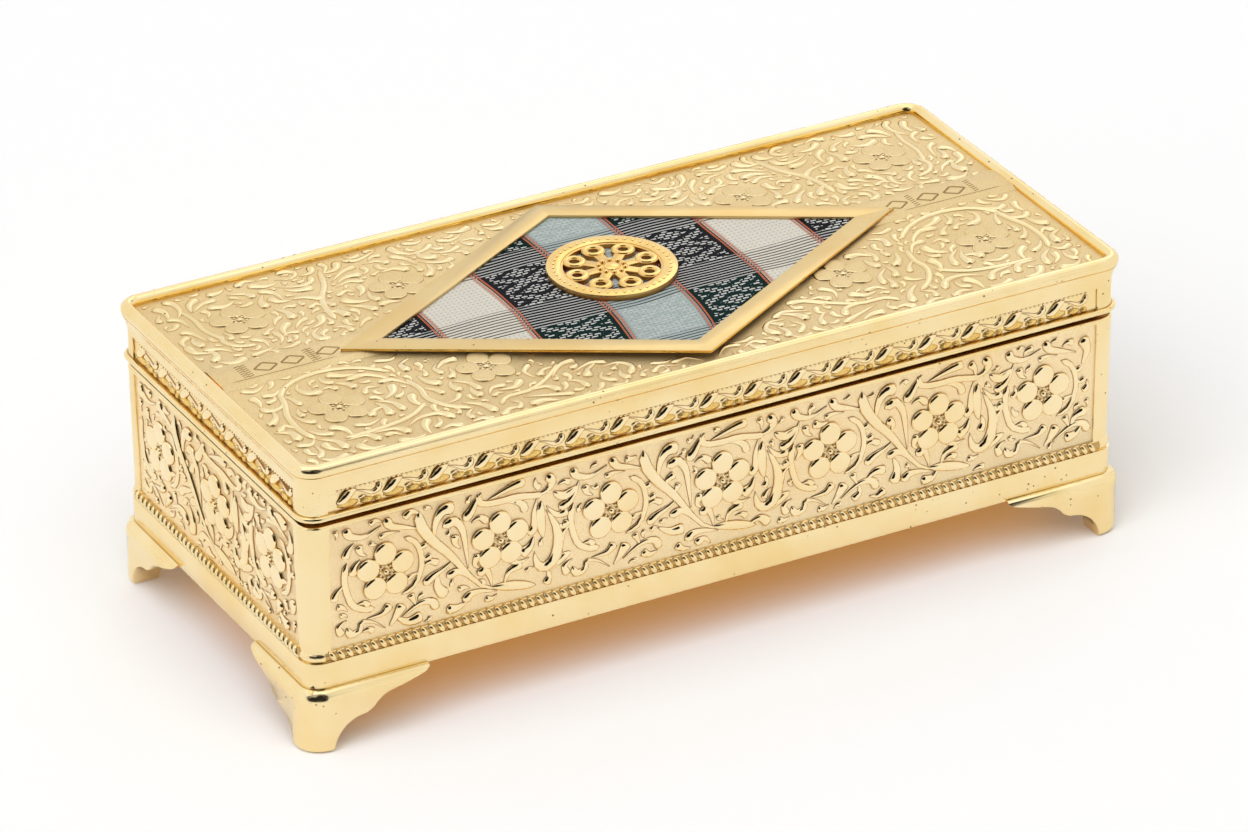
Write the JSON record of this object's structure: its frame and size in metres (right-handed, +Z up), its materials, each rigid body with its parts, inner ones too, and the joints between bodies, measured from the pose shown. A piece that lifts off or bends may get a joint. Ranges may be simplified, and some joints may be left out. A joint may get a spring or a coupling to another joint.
{
  "type": "turkish delight box",
  "caption": "Footed rectangular sweets box with a hinged moulded lid, sunk relief panels, bracket feet and a diamond-framed fabric inset.",
  "frame": {"origin": "on the ground under the middle of the four walls of the box", "axes": "+X along the box to the right as seen from the front, -Y towards the front, +Z up"},
  "size_m": [0.203, 0.0945, 0.0692],
  "materials": {
    "gold_plate": "thin gold plating on a zinc casting, polished relief on a matt granulated ground",
    "frame_gold": "plated stamped sheet, satin on the flat and polished on the bevels",
    "medal_gold": "plated casting, bright on the raised petals and darker between them",
    "velvet": "short wine-red velvet pile glued over board",
    "plaid_cloth": "plain woven plaid in cream, pale blue-grey, charcoal and dark green",
    "card": "uncoated grey board",
    "steel": "bright zinc-plated steel"
  },
  "bodies": {
    "box": {"box_body": "gold_plate", "foot_front_left": "gold_plate", "foot_front_right": "gold_plate", "foot_rear_left": "gold_plate", "foot_rear_right": "gold_plate", "foot_screws": "steel", "base_pad": "velvet", "lining_front": "velvet", "lining_rear": "velvet", "lining_left": "velvet", "lining_right": "velvet", "hinge_pin_left": "steel", "hinge_pin_right": "steel"},
    "lid": {"lid_shell": "gold_plate", "diamond_frame": "frame_gold", "fabric_inset": "plaid_cloth", "fabric_card": "card", "medallion": "medal_gold", "push_nuts": "steel", "lid_pad": "velvet"}
  },
  "joints": [
    {"name": "lid_hinge", "type": "hinge", "parent": "box", "child": "lid", "pos_m": [0, 0.0464, 0.0541], "axis": [-1, 0, 0], "range_deg": [0, 100]}
  ]
}
